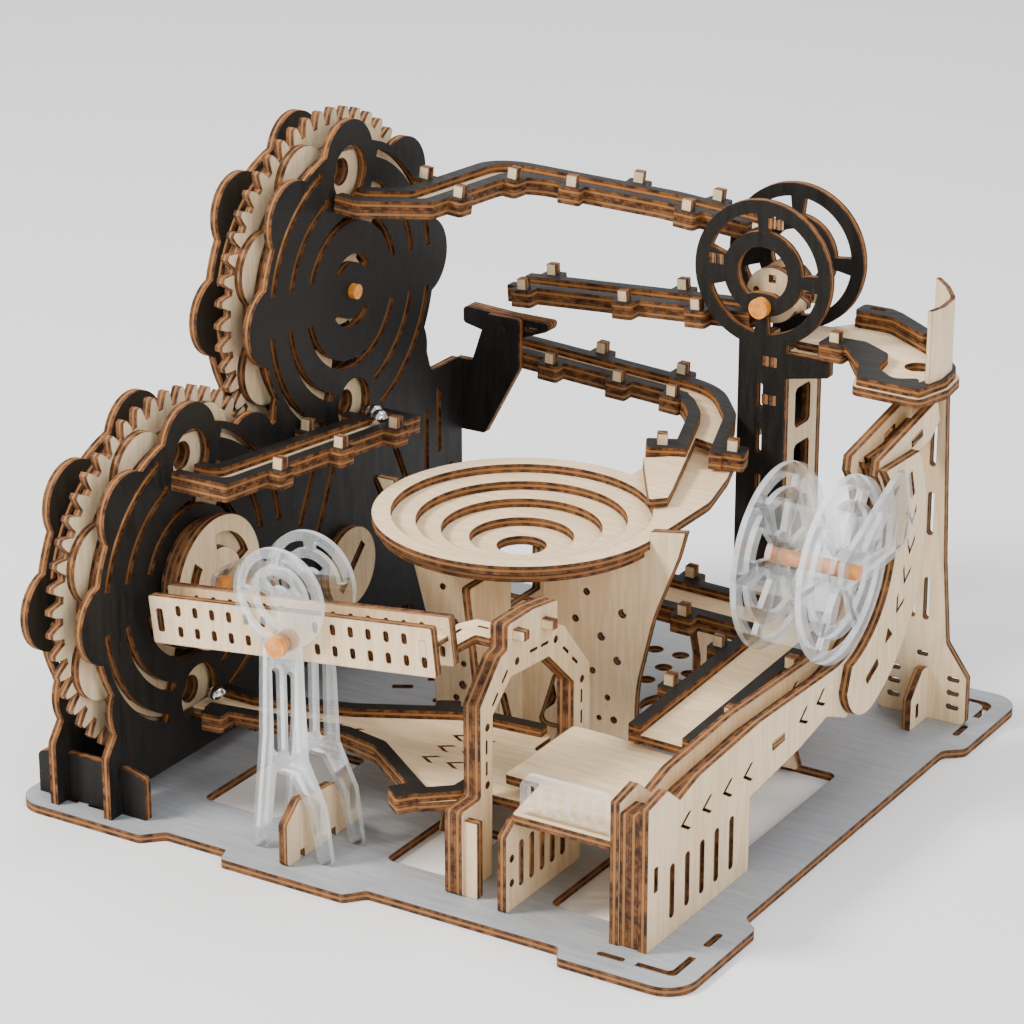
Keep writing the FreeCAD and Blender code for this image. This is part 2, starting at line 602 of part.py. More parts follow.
def build_turn():
    floor = rounded([(-82, 214), (-62, 214), (-50, 197), (-45, 183), (-21, 182), (-17.5, 196),
                     (-19, 208), (-34, 227), (-56, 242), (-71, 242), (-77.5, 233.2, 1.0),
                     (-82, 232.8)], 3.0)
    lugs = [turned_box((-65.5, 212.5), 9, 9, 0, 1.2), turned_box((-66, 241), 9, 8, 0, 1.2)]
    sheet_body("turn_floor", floor, [circle((-35, 211), 4.5)], flat_at(121), more=lugs)
    outer = [(-71, 239.6), (-57, 239), (-36.5, 225), (-22.5, 208), (-20.8, 197), (-24, 184)]
    inner = rounded([(-69, 209), (-69, 217), (-57, 217.5, 4), (-45, 210, 5), (-42.5, 196, 5),
                     (-33.5, 189, 4), (-26.2, 193.5), (-23.5, 183.5), (-44.4, 184.5),
                     (-49, 196, 6), (-60, 209)], 1.6)
    borders = sheet_body("turn_edges", strip(outer, -2.1, 2.1, 7.0), (), flat_at(124),
                         more=[inner] + lugs)
    cover = sheet_body("turn_cover", rounded([(-71, 236.8), (-71, 244.8), (-61, 244.8),
                                              (-56, 242.4), (-37.6, 229), (-41, 226),
                                              (-57, 236.6)], 1.5),
                       [box(-67.5, 240.6, -62, 243, 0.8)], flat_at(127))
    merge("turn_borders", borders, cover)
    wall = strip([(-35, 223.4), (-28.5, 216.5), (-21.8, 206.5), (-20.8, 196), (-22.2, 190)],
                 -0.8, 0.8, 9.0)
    body = sheet_body("turn_deflector", wall, (), flat_at(127), depth="double_ply")
    body.Tip.setExpression("Length", "sizes.double_ply * 4")
    x, y = -65.5, 212.5
    all_pegs.append(("Box", {"Length": "sizes.peg_size", "Width": "sizes.peg_size",
                             "Height": 3.4},
                     Placement(ORIGIN + Vector(x - 1.7, y - 1.7, 127.0), Rotation())))


# ---- slide ------------------------------------------------------------------------------
def slide_outline():
    y, z = PADDLE_AXIS
    return chain((17, 3), (79.4, 3), (79.5, 27.6), (112, 31), (130, 34.5),
                 polar(PADDLE_AXIS, 55, -80), (polar(PADDLE_AXIS, 55, -30),
                                               polar(PADDLE_AXIS, 55, 22)),
                 (198, 105), (204.9, 110), (202.6, 117.4), (161, 109.5),
                 polar(PADDLE_AXIS, 34, 40),
                 (polar(PADDLE_AXIS, 34, -24), polar(PADDLE_AXIS, 34, -88)),
                 (85, 50.4), (47, 48), (35.5, 45), (28, 51), (17, 49))


def arc_plate():
    """Outer plate of the curve, with a rounded lower end."""
    outer, inner = 58.5, 35.5
    return chain(polar(PADDLE_AXIS, inner, -79),
                 (polar(PADDLE_AXIS, inner, -20), polar(PADDLE_AXIS, inner, 43)),
                 polar(PADDLE_AXIS, outer - 3, 25),
                 (polar(PADDLE_AXIS, outer, -22), polar(PADDLE_AXIS, outer, -68)),
                 (polar(PADDLE_AXIS, outer - 6, -80), polar(PADDLE_AXIS, outer - 15, -85)))


def rail_holes():
    holes = [box(y, 8.5, y + 2.8, 26, 1.3) for y in (30.2, 39.3, 48.3, 57.2, 66.5)]
    holes += [box(20.8, 21, 23, 29, 0.4), turned_box((97.3, 39), 8, 2.8, 4, 0.6),
              turned_box((188, 109), 8, 2.8, 12, 0.6)]
    holes += [chevron((38.5 + 12.8 * i, 36), 4.6, 180) for i in range(4)]
    holes += [chevron((113 + 11.5 * i, 40.4 + 1.6 * i), 4.6, 186) for i in range(2)]
    return holes


def arc_holes():
    """Plain marks along the curve: slots, a wedge and chevrons."""
    axis = PADDLE_AXIS
    holes = [turned_box(polar(axis, 47, angle), 9, 3, angle + 90, 0.8) for angle in (-63, 17)]
    tip, wide = polar(axis, 46.5, -50), polar(axis, 46.5, -44)
    holes.append(rounded([tip, polar(wide, 2.6, -44), polar(wide, -2.6, -44)], 0.4))
    holes += [chevron(polar(axis, 46.5, angle), 4.6, angle - 90) for angle in (-34, -22, -10, 2)]
    return holes


def build_slide():
    gap, axis = S["slide_gap"], PADDLE_AXIS
    outer_x = -26.8
    inner_x = outer_x - gap - S["ply"]
    rail = sheet_body("outer_rail", slide_outline(), rail_holes(), side_at(outer_x))
    arc = sheet_body("arc_plate", arc_plate(), arc_holes(), side_at(outer_x + S["ply"]))
    merge("slide_outer_rail", rail, arc)
    sheet_body("slide_inner_rail", slide_outline(), rail_holes(), side_at(inner_x))
    lane = chain((36, 40), (47, 42), (85, 44.6), polar(axis, 39.5, -88),
                 (polar(axis, 39.5, -30), polar(axis, 39.5, 36)), (166.5, 104), (200, 110.5),
                 (200, 107.5), polar(axis, 42.5, 34),
                 (polar(axis, 42.5, -30), polar(axis, 42.5, -88)), (85, 41.6), (47, 39),
                 (36, 37))
    body = sheet_body("slide_floor", lane, (), side_at(inner_x + S["ply"]))
    body.Tip.setExpression("Length", "sizes.slide_gap")
    blocks = []
    for number in (0, 1):
        block = rounded([(17.4, 3), (27, 3), (27, 46), (17.4, 46)], 0.6)
        body = sheet_body("slide_block_%d" % (number + 1), block, (),
                          side_at(inner_x + S["ply"] + number * gap / 2))
        body.Tip.setExpression("Length", "sizes.slide_gap / 2")
        blocks.append(body)
    merge("slide_blocks", *blocks)
    bore = S["axle_size"] + S["axle_play"]
    bracket = rounded([(axis[0] - 6, axis[1] - 4), (axis[0] + 2, axis[1] - 7),
                       (176, 78), (178, 88), (173, 104), (166, 105),
                       (axis[0], axis[1] + 7.5), (axis[0] - 6, axis[1] + 4)], 3.0)
    window = rounded([(145, 83.5), (161, 81.5), (162.5, 95.5)], 2.0)
    sheet_body("paddle_bracket", bracket, [circle(axis, bore), window], side_at(-20.8),
               "clear_sheet")
    shaft = circle(axis, S["axle_size"], "axle_size")
    cuts = [arc_slot(axis, 22, 26, a + 6, a + 54) for a in range(0, 360, 60)]
    cuts += [arc_slot(axis, 8, 18, a + 12, a + 48) for a in range(0, 360, 60)]
    disc = circle(axis, S["paddle_wheel"], "paddle_wheel")
    discs = [sheet_body(name, disc, [shaft] + cuts, side_at(x), "clear_sheet")
             for name, x in (("paddle_right", -23.2), ("paddle_left", -45.4))]
    blades = [turned_box(polar(axis, 15.3, a), 23, 2, a) for a in range(0, 360, 60)]
    body = sheet_body("blades", circle(axis, 6.0), [shaft], side_at(-43.4), more=blades)
    for pad in [item for item in body.Group if item.TypeId == "PartDesign::Pad"]:
        pad.setExpression("Length", "sizes.slide_gap + 13.6")
    merge("paddle_wheel", *discs, body)
    axle("paddle_axle", (-48.0,) + axis, 31.5, "x")
    rear = rounded([(-44, 3), (-11.8, 3), (-11.8, 20), (-19.7, 31), (-22, 60), (-24, 121),
                    (-42, 121), (-40, 60), (-38, 31), (-44, 20)], 2.0)
    slots = [box(-28.6, z, -26.4, z + 15, 1.0) for z in (38, 68, 92)]
    slots += [box(-33.6, z, -31.4, z + 15, 1.0) for z in (38, 68)]
    slots += [box(x - 2.2, z, x + 2.2, z + 1.8, 0.8) for x in (-38, -16.5) for z in (8, 13, 18)]
    slots.append(box(-30, 25, -26, 26.8, 0.8))
    sheet_body("rear_stand", rear, slots, face_at(212))
    side_pieces.append(sheet_body("stand_foot", rounded([(196, 3), (209, 3), (209, 22, 2), (204, 22, 2),
                                           (196, 14, 2)]),
               [box(200, 6, 202, 11, 0.8)], side_at(-28.5)))


# ---- landing, arch and collecting -------------------------------------------------------
def build_front():
    floor = rounded([(-87.8, 42), (-75, 42), (-71.5, 20), (-36.6, 20), (-36.6, 78),
                     (-75, 83), (-87.8, 83)], 1.5)
    chute = rounded([(-109, 32), (-101, 32), (-100, 45.5), (-94.6, 45.5), (-94.6, 56),
                     (-106, 56), (-109, 50)], 1.0)
    dashes = [box(-106.5, y, -105.4, y + 4, 0.5) for y in (36, 43)]
    dashes.append(box(-103, 51, -99, 52.1, 0.5))
    merge("landing_floor", sheet_body("landing", floor, (), flat_at(31.5)),
          sheet_body("seesaw_chute", chute, dashes, flat_at(73.2)))
    side = rounded([(16.7, 3), (60, 3), (60, 31.4), (22, 31.4), (16.7, 28)], 1.0)
    holes = [box(y, 9, y + 2.6, 24, 1.2) for y in (24, 30, 36, 42, 48)]
    holes += [circle((20, 12), 1.2), circle((20, 20), 1.2)]
    sheet_body("landing_side_plate", side, holes, side_at(-74.5))
    comb = rounded([(-70, 34.5), (-38.6, 34.5), (-38.6, 44), (-41, 47.5), (-67.6, 47.5),
                    (-70, 44)], 2.0)
    teeth = [box(-67.4 + 4.6 * i, 36.5, -65.0 + 4.6 * i, 44.5, 1.1) for i in range(6)]
    sheet_body("landing_comb", comb, teeth, face_at(24), "clear_sheet")
    outline = rounded([(19, 3), (36, 3), (36.6, 56), (47, 64.5), (69, 63), (84, 49),
                       (84, 30), (74, 21), (74, 3), (95, 3), (95, 24), (93.5, 52), (78, 70),
                       (74, 72), (74, 80), (60, 82), (45, 82), (45, 74), (41, 73), (29.6, 61),
                       (29.8, 31), (19, 31)], 1.2)
    dashes = [box(32.7, z, 33.6, z + 4.6, 0.4) for z in (37.5, 44.5)]
    dashes += [box(88.3, z, 89.2, z + 4.6, 0.4) for z in (33, 40)]
    dashes += [turned_box(spot, 4.4, 0.9, angle, 0.4)
               for spot, angle in (((38, 60.6), 45), ((43.5, 66), 45), ((60, 68.6), -4),
                                   ((66.5, 68.1), -4), ((79, 61.5), -43), ((84.5, 56), -43))]
    keys = [box(48, 76.4, 51, 79.4), box(64.5, 74, 67.5, 77)]
    feet = [circle(spot, 1.2) for spot in ((33.6, 53.1), (33.6, 34.2), (50.5, 68.4),
                                           (73, 67.2), (89, 48), (89, 29.5))]
    merge("arch_gate", *[sheet_body(name, outline, dashes + keys + feet, side_at(x))
                         for name, x in (("arch_left", -94.4), ("arch_right", -91.4))])
    face_pieces.append(sheet_body("arch_foot", box(-88.4, 3, -83.6, 28, 0.4), (),
                                  face_at(23)))
    for y, z in ((48.0, 76.4), (64.5, 74.0)):
        all_pegs.append(("Box", {"Length": 12.0, "Width": 3.0, "Height": 3.0},
                         Placement(ORIGIN + Vector(-96.4, y, z), Rotation())))


# ---- funnel -----------------------------------------------------------------------------
def build_funnel():
    rim, top, ply = S["funnel_rim"], S["funnel_top"], S["ply"]
    steps = [(rim, rim - 6.0), (45.6, 33.7), (37.7, 25.7), (29.7, 16.7), (20.7, 8.0)]
    names = ["funnel_rim", "funnel_ring_2", "funnel_ring_3", "funnel_ring_4", "funnel_ring_5"]
    tongue = rounded([(-112, 156), (-112, 196), (-104, 202), (-91, 194, 3), (-84, 174, 20),
                      (-78.5, 152, 20), (-78.4, 126, 20), (-80, 110), (-86, 126), (-96, 142)],
                     1.5)
    rings = []
    for number, (name, (outer, inner)) in enumerate(zip(names, steps)):
        extra = [tongue] if number == 0 else []
        cut = [circle(FUNNEL, inner)]
        ring = sheet_body(name, circle(FUNNEL, outer), cut,
                          flat_at(top - ply * (number + 1)), more=extra)
        if number:
            rings.append(ring)
    merge("funnel_rings", *rings)
    x = FUNNEL[0]
    levels = [(outer + 0.02, top - ply * (i + 1)) for i, (outer, _) in enumerate(steps)]
    right = [(x + levels[-1][0], levels[-1][1])]
    left = [(x - levels[-1][0], levels[-1][1])]
    for (outer, level), (inner, _) in zip(levels[-2::-1], levels[:0:-1]):
        right += [(x + inner, level), (x + outer, level)]
        left += [(x - inner, level), (x - outer, level)]
    edge = right + [(x + levels[0][0], top + 3), (-66, top + 5), (-68.4, 84, 20),
                    (-77, 62, 60), (-83, 36, 60), (-83, 3), (-157, 3), (-160, 40, 60),
                    (-168, 68, 60), (-180, top + 1), (x - levels[0][0], top + 1)] + left[::-1]
    lap = chain((x - ply / 2, 38), (x + ply / 2, 38), (x + ply / 2, 58), (x + 9, 58),
                (x + 9, 74), (x - 9, 74), (x - 9, 58), (x - ply / 2, 58))
    spots = [(-87.9, 61.3, 1.5), (-95.5, 51.8, 1.4), (-89.6, 44.7, 1.4), (-98.6, 39.4, 1.1),
             (-93, 31.2, 1.0), (-90.6, 23.9, 1.2), (-96, 23.5, 0.9), (-145.1, 51.6, 1.5),
             (-150.4, 44.3, 1.4), (-147.1, 30.4, 1.0), (-147.5, 22.8, 1.4), (-150, 17.8, 1.1),
             (-105, 56, 1.2), (-108, 46, 1.0), (-155, 56, 1.1), (-101, 66, 1.2)]
    holes = [circle((u, v), r) for u, v, r in spots]
    holes.append(rounded([(-119, 16), (-104, 16), (-111.5, 40)], 2))
    holes.append(rounded([(-142, 16), (-133, 16), (-137.5, 36)], 2))
    sheet_body("funnel_support_long", rounded(edge), [lap] + holes, face_at(116))
    y = FUNNEL[1]
    cross = rounded([(90, 3), (141, 3), (145, 40), (150, 72.9), (81, 72.9), (86.8, 40)], 1.0)
    cuts = [box(y - 1.5, 2.9, y + 1.5, 38), box(y - 9, 58, y + 9, 74),
            circle((98, 50), 3), circle((131, 50), 3),
            rounded([(94, 14), (108, 14), (101, 34)], 2),
            rounded([(121, 14), (135, 14), (128, 34)], 2)]
    sheet_body("funnel_support_cross", cross, cuts, side_at(x - 1.5))


# ---- seesaw -----------------------------------------------------------------------------
def seesaw_at(y):
    """Placement about the seesaw axis, leaning by the rest angle."""
    base = ORIGIN + Vector(SEESAW_AXIS[0], y, SEESAW_AXIS[1])
    lean = Rotation(Vector(0, 1, 0), -S["seesaw_tilt"])
    return Placement(base, lean.multiply(Rotation(Vector(1, 0, 0), 90)))


def build_seesaw():
    low, high = 2.3 - S["seesaw_height"] / 2, 2.3 + S["seesaw_height"] / 2
    left, right = -50.0, 54.0
    bore = circle((0, 0), S["axle_size"], "axle_size")
    slots = [box(-40 + 6.4 * i, row, -38.2 + 6.4 * i, row + 3.4, 0.8)
             for i in range(15) for row in (-2.6, 4.2) if abs(-39 + 6.4 * i) > 6]
    slots += [box(left + 2.4, low + 4, left + 4.8, high - 4, 0.8),
              box(right - 4.8, low + 4, right - 2.4, high - 4, 0.8)]
    side = box(left, low, right, high, 0.8)
    front, lane, ply = 17.6, S["seesaw_lane"], S["ply"]
    merge("seesaw_sides", *[sheet_body(name, side, slots + [bore], seesaw_at(y))
                            for name, y in (("side_front", front + ply),
                                            ("side_back", front + 2 * ply + lane))])
    body = sheet_body("seesaw_floor", box(left + 3, 2.7, right - 1, 4.3), (),
                      seesaw_at(front + ply + lane))
    body.Tip.setExpression("Length", "sizes.seesaw_lane")
    x, z = SEESAW_AXIS
    ring = (-150.5, 87.4)
    hole = circle(SEESAW_AXIS, S["axle_size"] + S["axle_play"])
    stem = rounded([(-157, 84), (-158.5, 40), (-162.5, 3), (-157, 3), (-153.5, 30),
                    (-147.2, 30), (-141, 20), (-137.5, 3), (-132.5, 3), (-135, 22), (-141.5, 36),
                    (-143.5, 84)], 1.5)
    cuts = [arc_slot(ring, 10.5, 13.0, a + 8, a + 82) for a in (0, 90, 180, 270) if a != 270]
    cuts += [arc_slot(ring, 4.0, 7.6, a + 16, a + 104) for a in (30, 150)]
    cuts += [box(-154.4, 36, -151.6, 64, 1.2), box(-149, 36, -146.2, 64, 1.2)]
    merge("seesaw_frames", *[sheet_body(name, circle(ring, 16.0), [hole] + cuts, face_at(y),
                                        "clear_sheet", more=[stem])
                             for name, y in (("frame_front", 16.6), ("frame_back", 33.4))])
    foot = rounded([(7.5, 3), (40, 3), (40, 10), (33.5, 21), (14.6, 23), (7.5, 17)], 1.5)
    clear = [box(14.5, 2.9, 16.7, 6), box(31.3, 2.9, 33.5, 6), box(22, 8, 25, 17, 1)]
    side_pieces.append(sheet_body("seesaw_foot", foot, clear, side_at(-147)))
    axle("seesaw_axle", (x, 12.4, z), 23.4, "y", caps=[(0, 3.4, 2.0), (21.4, 3.4, 2.0)])


# ---- flipper, legs, balls ---------------------------------------------------------------
def build_flipper():
    x, z = FLIPPER_AXIS
    bracket = rounded([(-212.3, 70), (-200, 70), (-186, 96), (-186, 114), (-199, 114),
                       (-205, 96), (-212.3, 96)], 1.0)
    sheet_body("flipper_bracket", bracket, [circle(FLIPPER_AXIS, 1.5 + S["axle_play"])],
               face_at(213.5))
    arm = rounded([(x - 18, z - 1), (x, z - 5), (x + 16, z + 1), (x + 17, z + 4), (x, z + 4),
                   (x - 18, z + 5)], 1.5)
    lever = sheet_body("flipper_lever", arm, [circle(FLIPPER_AXIS, 1.5), box(x + 7, z, x + 12, z + 1.6)],
               face_at(217.5))
    sheet_body("flipper_plate", arm, [circle(FLIPPER_AXIS, 1.5)], face_at(220.5))
    pin = axle("flipper_pin", (x, 209.6, z), 14.4, "y", "1.5")
    merge("flipper_arm", lever, pin)


def build_legs():
    leg = rounded([(-66, 3), (-43, 3), (-46, 12), (-46, 30), (-43, 38.4), (-66, 38.6),
                   (-63, 30), (-63, 12)], 1.0)
    face_pieces.append(sheet_body("return_leg", leg, [box(-56.5, 10, -53, 26, 1.2)],
                                  face_at(153)))
    rear = rounded([(157, 3), (179, 3), (176, 14), (176, 30), (179, 40.8), (157, 39.8),
                    (160, 30), (160, 14)], 1.0)
    side_pieces.append(sheet_body("return_rear_leg", rear, [box(166.5, 10, 170, 26, 1.2)],
                                  side_at(-88)))
    short = rounded([(52, 3), (80, 3), (77, 12), (77, 24.6), (55, 24.6), (55, 12)], 1.0)
    side_pieces.append(sheet_body("collecting_leg", short, [box(64, 8, 67.4, 18, 1.2)],
                                  side_at(-118)))
    merge("face_pieces", *face_pieces)
    merge("side_pieces", *side_pieces)


def build_balls():
    spots = [("ball_upper_1", (-201.2, 143.5, 97.68)), ("ball_upper_2", (-196.2, 138.8, 98.15)),
             ("ball_lower", (-203.0, 53.5, 29.0))]
    for label, spot in spots:
        ball = doc.addObject("Part::Sphere", label)
        ball.setExpression("Radius", "sizes.ball_size")
        ball.Label = label
        ball.Placement = Placement(ORIGIN + Vector(*spot), Rotation())
        nodes.append(ball)


build_board()
build_lift()
build_crank()
build_tracks()
build_tower()
build_turn()
build_slide()
build_front()
build_funnel()
build_seesaw()
build_flipper()
build_legs()
build_balls()
group("track_pegs", all_pegs)
doc.recompute()

for node in nodes:
    if "Invalid" in node.State or "Error" in node.State:
        raise RuntimeError("%s did not compute" % node.Label)
    if node.Shape.isNull() or not node.Shape.isValid():
        raise RuntimeError("%s has a bad shape" % node.Label)
    node.Shape.exportStep("parts/%s.step" % node.Label)
print("%d nodes" % len(nodes))
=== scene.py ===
"""Plywood marble-run puzzle: materials, small fittings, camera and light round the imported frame."""
import json
import math

import bmesh
import bpy
from mathutils import Matrix, Vector


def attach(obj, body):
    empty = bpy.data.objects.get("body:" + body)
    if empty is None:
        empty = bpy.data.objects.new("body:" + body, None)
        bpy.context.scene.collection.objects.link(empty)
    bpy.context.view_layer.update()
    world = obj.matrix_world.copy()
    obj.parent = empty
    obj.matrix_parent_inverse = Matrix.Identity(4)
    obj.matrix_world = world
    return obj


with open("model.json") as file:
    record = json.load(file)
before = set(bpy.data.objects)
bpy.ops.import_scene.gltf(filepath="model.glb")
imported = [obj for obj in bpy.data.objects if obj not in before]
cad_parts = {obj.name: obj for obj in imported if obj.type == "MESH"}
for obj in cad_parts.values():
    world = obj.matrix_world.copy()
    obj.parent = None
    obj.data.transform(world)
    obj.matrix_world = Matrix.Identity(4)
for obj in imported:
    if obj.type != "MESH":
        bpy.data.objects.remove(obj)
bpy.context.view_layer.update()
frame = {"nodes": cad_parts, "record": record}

nodes = frame["nodes"]
slots = {entry["node"]: entry["material_slot"] for entry in frame["record"]["subparts"]}

MM = 0.001
UP = Vector((0, 0, 1))
RIGHT = Vector((1, 0, 0))

# Colours are linear RGB. A pair is the dark and the light end of a mottled colour.
PALE = ((0.68, 0.485, 0.275), (0.81, 0.635, 0.405))
BLACK = ((0.0065, 0.0058, 0.0052), (0.015, 0.0135, 0.012))
GREY = ((0.275, 0.285, 0.30), (0.345, 0.355, 0.37))
BURNT = ((0.030, 0.009, 0.003), (0.215, 0.082, 0.026))
ORANGE = ((0.62, 0.20, 0.025), (0.80, 0.32, 0.05))
STEEL = ((0.60, 0.60, 0.62), (0.78, 0.78, 0.80))
FLOOR = ((0.84, 0.835, 0.83), (0.87, 0.865, 0.86))
CORE_VENEER = (0.36, 0.175, 0.058)
GLUE_LINE = (0.018, 0.006, 0.003)
CHARRED_RIM = (0.020, 0.008, 0.004)
FACE_SCORCH = (0.085, 0.030, 0.010)
WORN_BLACK = (0.16, 0.11, 0.07)
WORN_GREY = (0.56, 0.58, 0.60)
ACRYLIC_FACE = (0.93, 0.95, 0.96)
ACRYLIC_EDGE = (0.94, 0.97, 0.98)

# Plywood
SHEET = 3.0 * MM                 # thickness, one full set of veneers
FACE_COSINE = (0.72, 0.82)       # from cut edge to sheet face
GRAIN_STRETCH = 9.0              # streaks run this much longer than they are wide
DEPTH_STRETCH = 2.0
GRAIN_SCALE, PORE_SCALE, PATCH_SCALE = 55.0, 420.0, 16.0
SPECK_SCALE, CHAR_SCALE = 900.0, 260.0
GRAIN_SHARE = 0.65               # of the tone; the patches make up the rest
SCORCH_WIDTH = 0.6 * MM

# Acrylic
ACRYLIC_IOR = 1.49
CLEAR_RIM = 2.0 * MM             # side discs of the paddle wheel keep frosted edges
BLADE_CLEARING = -0.72           # how much frost the paddle blades between them lose

# Camera, at the photograph's viewing angle
CAMERA_PLACE = Vector((543.8, -896.9, 495.7)) * MM
AZIMUTH, ELEVATION = math.radians(31.6), math.radians(21.35)
LENS, SENSOR = 124.3, 36.0

# Studio, in metres
LIGHT_AIM = (0, 0, 0.08)
SKY_COLOUR, SKY_STRENGTH = (0.92, 0.95, 1.0, 1), 0.88
FLOOR_REACH, FLOOR_BACK = 2.6, 1.1
SWEEP_RADIUS, WALL_TOP = 0.6, 2.4

# Tab ends that show on the tower and on the slide, in mm
TAB_PROUD, TAB_BEVEL = 1.2, 0.16
TOWER_TAB_HEIGHT, TOWER_TAB_WIDTH, TOWER_FACE_Y = 3.4, 2.3, 89.35
TOWER_TABS = ((35.7, 116.9), (38.6, 116.9), (35.7, 103.6), (38.6, 103.6),
              (14.9, 149.2), (17.8, 149.2), (36.4, 164.2), (39.3, 164.2))     # x, z
SLIDE_TAB_LENGTH, SLIDE_TAB_WIDTH, SLIDE_FACE_X = 7.5, 2.4, 100.95
SLIDE_TABS = ((-22.7, 39.0, 4), (68.0, 109.0, 12))                            # y, z, lean


# ---- node helpers -----------------------------------------------------------------------
class Tree:
    """A small helper for building one material's node tree."""

    def __init__(self, name):
        self.material = bpy.data.materials.new(name)
        self.material.use_nodes = True
        self.tree = self.material.node_tree
        self.tree.nodes.clear()

    def add(self, kind, **settings):
        node = self.tree.nodes.new("ShaderNode" + kind)
        for key, value in settings.items():
            setattr(node, key, value)
        return node

    def link(self, source, target):
        self.tree.links.new(source, target)

    def feed(self, socket, value):
        """Link an output to the socket, or set a constant on it."""
        if hasattr(value, "is_linked"):
            self.link(value, socket)
        else:
            socket.default_value = value

    def math(self, operation, *values):
        node = self.add("Math", operation=operation)
        for socket, value in zip(node.inputs, values):
            self.feed(socket, value)
        return node.outputs[0]

    def inverse(self, value):
        return self.math("SUBTRACT", 1.0, value)

    def vector(self, operation, *values):
        node = self.add("VectorMath", operation=operation)
        for socket, value in zip(node.inputs, values):
            self.feed(socket, value)
        return node.outputs["Value" if operation == "DOT_PRODUCT" else "Vector"]

    def mix(self, factor, first, second):
        node = self.add("Mix", data_type="RGBA", blend_type="MIX")
        self.feed(node.inputs[0], factor)
        for socket, value in ((node.inputs[6], first), (node.inputs[7], second)):
            self.feed(socket, (*value, 1.0) if isinstance(value, tuple) else value)
        return node.outputs[2]

    def ramp(self, factor, low, high, low_value=0.0, high_value=1.0):
        """Smooth step of the factor from low to high."""
        node = self.add("MapRange", clamp=True, interpolation_type="SMOOTHSTEP")
        self.feed(node.inputs[0], factor)
        for index, value in enumerate((low, high, low_value, high_value), start=1):
            node.inputs[index].default_value = value
        return node.outputs[0]

    def noise(self, where, scale, detail=3.0, roughness=0.55, distortion=0.0):
        node = self.add("TexNoise")
        self.feed(node.inputs["Vector"], where)
        node.inputs["Scale"].default_value = scale
        node.inputs["Detail"].default_value = detail
        node.inputs["Roughness"].default_value = roughness
        node.inputs["Distortion"].default_value = distortion
        return node.outputs["Fac"]

    def shader(self):
        shader = self.add("BsdfPrincipled")
        output = self.add("OutputMaterial")
        self.link(shader.outputs[0], output.inputs[0])
        return shader

    def bump(self, shader, height, strength, distance):
        node = self.add("Bump")
        node.inputs["Strength"].default_value = strength
        node.inputs["Distance"].default_value = distance
        self.link(height, node.inputs["Height"])
        self.link(node.outputs[0], shader.inputs["Normal"])


def sheet_axis(obj):
    """Direction most of a node's area faces: its sheets' own normal."""
    totals = {}
    for face in obj.data.polygons:
        normal = face.normal.copy()
        if max(normal, key=abs) < 0:
            normal.negate()
        key = tuple(round(part, 1) for part in normal)
        area, direction = totals.get(key, (0.0, Vector()))
        totals[key] = (area + face.area, direction + normal * face.area)
    return max(totals.values(), key=lambda item: item[0])[1].normalized()


def reach(vertices, axis):
    """Lowest and highest place of a mesh along an axis."""
    depths = [vertex.co.dot(axis) for vertex in vertices]
    return min(depths), max(depths)


# ---- materials --------------------------------------------------------------------------
def stretched(build, place, axis, along):
    """Object space squeezed along the grain, so that noise runs in streaks."""
    across = axis.cross(along).normalized()
    parts = build.add("CombineXYZ")
    build.link(build.vector("DOT_PRODUCT", place, tuple(along)), parts.inputs[0])
    for index, (direction, factor) in enumerate(((across, GRAIN_STRETCH),
                                                 (axis, DEPTH_STRETCH)), start=1):
        depth = build.vector("DOT_PRODUCT", place, tuple(direction))
        build.link(build.math("MULTIPLY", depth, factor), parts.inputs[index])
    return parts.outputs[0]


def sheet_faces(build, top, bottom, facing, tone, pores, speck):
    """Colour of the two faces of a sheet, each bare or printed."""
    def coloured(pair):
        darker = tuple(part * 0.62 for part in pair[0])
        return build.mix(build.math("MULTIPLY", pores, 0.45), build.mix(tone, *pair), darker)

    face = coloured(top)
    if bottom is not top:
        face = build.mix(build.math("GREATER_THAN", facing, 0.0), coloured(bottom), face)
    if top is BLACK:
        face = build.mix(build.math("MULTIPLY", speck, 0.20), face, WORN_BLACK)
    elif top is GREY:
        face = build.mix(build.math("MULTIPLY", speck, 0.28), face, WORN_GREY)
    return face


def sheet_edge(build, position, axis, start, char):
    """Colour of a laser-cut edge: burnt outer veneers, glue lines and a lighter core."""
    depth = build.math("SUBTRACT", build.vector("DOT_PRODUCT", position, tuple(axis)), start)
    layer = build.math("FRACT", build.math("DIVIDE", depth, SHEET))
    veneer = build.math("ABSOLUTE", build.math("SUBTRACT", layer, 0.5))
    from_glue = build.math("ABSOLUTE", build.math("SUBTRACT", veneer, 0.17))
    core = build.inverse(build.ramp(veneer, 0.13, 0.19))
    glue = build.inverse(build.ramp(from_glue, 0.0, 0.05))
    rim = build.ramp(veneer, 0.42, 0.5)
    edge = build.mix(build.ramp(char, 0.35, 0.68), *BURNT)
    for where, share, colour in ((core, 0.62, CORE_VENEER), (glue, 0.85, GLUE_LINE),
                                 (rim, 0.75, CHARRED_RIM)):
        edge = build.mix(build.math("MULTIPLY", where, share), edge, colour)
    return edge


def near_corner(build):
    """One where the surface lies close to a sharp corner, as the bevel shader sees it."""
    soft = build.add("Bevel", samples=4)
    soft.inputs["Radius"].default_value = SCORCH_WIDTH
    true = build.add("NewGeometry").outputs["Normal"]
    return build.ramp(build.vector("DOT_PRODUCT", soft.outputs[0], true), 0.80, 0.995, 1.0, 0.0)


